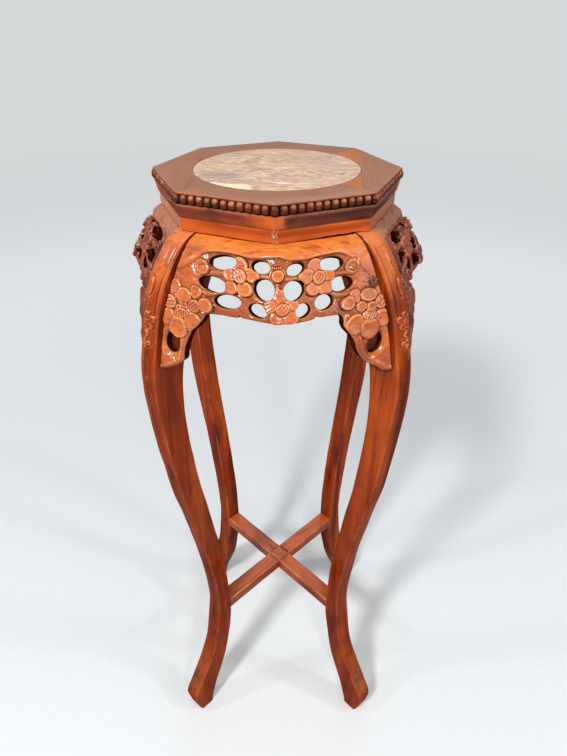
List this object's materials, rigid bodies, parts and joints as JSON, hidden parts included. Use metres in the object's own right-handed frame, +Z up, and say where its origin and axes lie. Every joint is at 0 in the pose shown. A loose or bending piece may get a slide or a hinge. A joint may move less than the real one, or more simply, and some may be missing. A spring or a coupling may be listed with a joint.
{
  "type": "fern stand",
  "caption": "Tall octagonal carved hardwood plant stand with a round marble inset, pierced aprons, cabriole legs and a crossed stretcher.",
  "frame": {"origin": "on the floor, under the middle of the top", "axes": "+Z up, -Y to the front, where the octagonal top has a corner; the four legs stand on the diagonals"},
  "size_m": [0.3634, 0.3634, 0.914],
  "materials": {
    "leg_wood": "red-brown stained hardwood, glossy lacquer",
    "apron_wood": "orange-brown stained hardwood, glossy lacquer, darker in the carving",
    "top_wood": "brown stained hardwood, glossy lacquer",
    "waist_wood": "orange-brown stained hardwood, glossy lacquer",
    "stretcher_wood": "worn orange-brown hardwood, satin lacquer",
    "hidden_wood": "bare softwood",
    "marble": "polished pink-beige marble with brown and cream veins"
  },
  "bodies": {
    "root": {"marble_inlay": "marble", "marble_support_board": "hidden_wood", "top_frame_front": "top_wood", "apron_front": "apron_wood", "glue_block_front": "hidden_wood", "waist_front_right": "waist_wood", "waist_front_left": "waist_wood", "top_frame_right": "top_wood", "apron_right": "apron_wood", "glue_block_right": "hidden_wood", "waist_right_right": "waist_wood", "waist_right_left": "waist_wood", "top_frame_back": "top_wood", "apron_back": "apron_wood", "glue_block_back": "hidden_wood", "waist_back_right": "waist_wood", "waist_back_left": "waist_wood", "top_frame_left": "top_wood", "apron_left": "apron_wood", "glue_block_left": "hidden_wood", "waist_left_right": "waist_wood", "waist_left_left": "waist_wood", "leg_front_right": "leg_wood", "leg_back_right": "leg_wood", "leg_back_left": "leg_wood", "leg_front_left": "leg_wood", "stretcher_over": "stretcher_wood", "stretcher_under": "stretcher_wood"}
  },
  "joints": []
}
